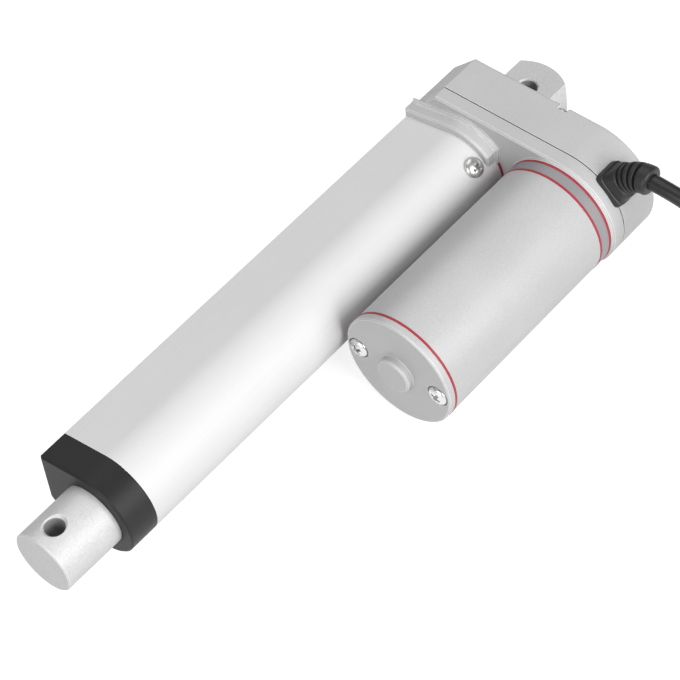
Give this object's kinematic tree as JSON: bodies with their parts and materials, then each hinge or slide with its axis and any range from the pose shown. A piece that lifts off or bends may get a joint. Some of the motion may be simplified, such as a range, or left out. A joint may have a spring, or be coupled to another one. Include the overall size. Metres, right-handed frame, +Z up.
{
  "type": "electric linear actuator",
  "caption": "Compact electric linear actuator: parallel motor, spur gear housing, satin D-shaped tube, round rod end, rear eye and cord.",
  "frame": {"origin": "centre of the rear eye's hole, on the rod's axis", "axes": "+X along the rod towards its eye, +Y from the rod towards the motor, +Z up along the eyes' holes"},
  "size_m": [0.2224, 0.1929, 0.0452],
  "materials": {
    "silver paint": "satin",
    "satin aluminium": "satin",
    "blasted aluminium": "matte",
    "bright steel": "polished",
    "dark steel": "satin",
    "black plastic": "matte",
    "black rubber": "matte",
    "red rubber": "matte",
    "black cord": "gloss",
    "natural plastic": "satin",
    "brass": "satin",
    "magnet": "matte",
    "copper wire": "gloss",
    "green board": "satin",
    "red wire": "gloss"
  },
  "bodies": {
    "housing": {"front_housing": "silver paint", "rear_cover": "silver paint", "housing_seal": "black rubber", "housing_screws": "bright steel", "outer_tube": "satin aluminium", "tube_seal": "red rubber", "tube_screws": "bright steel", "front_cap": "black plastic", "rod_wiper": "black rubber", "guide_bush": "natural plastic", "rear_eye": "blasted aluminium", "rear_bush": "brass", "bearing_outer_ring": "bright steel", "bearing_clip": "dark steel", "idler_pin": "bright steel", "motor_can": "silver paint", "motor_end_cap": "silver paint", "motor_front_seal": "red rubber", "motor_bell": "silver paint", "motor_rear_seal": "red rubber", "motor_mount_seal": "red rubber", "motor_magnets": "magnet", "motor_front_bush": "brass", "motor_rear_bush": "brass", "brush_holder": "black plastic", "carbon_brushes": "magnet", "motor_tie_screws": "bright steel", "switch_strip": "green board", "end_switches": "black plastic", "switch_leads": "red wire", "strain_relief": "black rubber", "cord_tube": "black cord", "cord_coil": "black cord", "cord_cores": "copper wire"},
    "screw": {"lead_screw": "bright steel", "main_gear": "natural plastic", "screw_spacer": "dark steel", "bearing_inner_ring": "bright steel"},
    "bearing_set": {"bearing_balls": "bright steel", "bearing_cage": "brass"},
    "idler": {"idler_wheel": "natural plastic", "idler_pinion": "dark steel"},
    "motor_rotor": {"motor_shaft": "bright steel", "motor_pinion": "brass", "armature_core": "dark steel", "armature_windings": "copper wire", "commutator": "copper wire"},
    "rod": {"rod_tube": "bright steel", "front_eye": "blasted aluminium", "drive_nut": "natural plastic"}
  },
  "joints": [
    {"name": "rod_slide", "type": "slide", "parent": "housing", "child": "rod", "axis": [1, 0, 0], "range_m": [0, 0.1]},
    {"name": "motor_spin", "type": "hinge", "parent": "housing", "child": "motor_rotor", "pos_m": [0.06, 0.035, 0], "axis": [1, 0, 0], "range_deg": [0, 81000]},
    {"name": "idler_spin", "type": "hinge", "parent": "housing", "child": "idler", "pos_m": [0.02, 0.0189, 0], "axis": [1, 0, 0], "range_deg": [-22500, 0]},
    {"name": "screw_spin", "type": "hinge", "parent": "housing", "child": "screw", "pos_m": [0.02, 0, 0], "axis": [1, 0, 0], "range_deg": [0, 9000]},
    {"name": "bearing_spin", "type": "hinge", "parent": "housing", "child": "bearing_set", "pos_m": [0.032, 0, 0], "axis": [1, 0, 0], "range_deg": [0, 3500]}
  ],
  "couplings": [
    {"joint": "screw_spin", "follows": "rod_slide", "rad_per_m": 1570.8},
    {"joint": "bearing_spin", "follows": "rod_slide", "rad_per_m": 610.87},
    {"joint": "idler_spin", "follows": "rod_slide", "rad_per_m": -3927},
    {"joint": "motor_spin", "follows": "rod_slide", "rad_per_m": 14137}
  ]
}
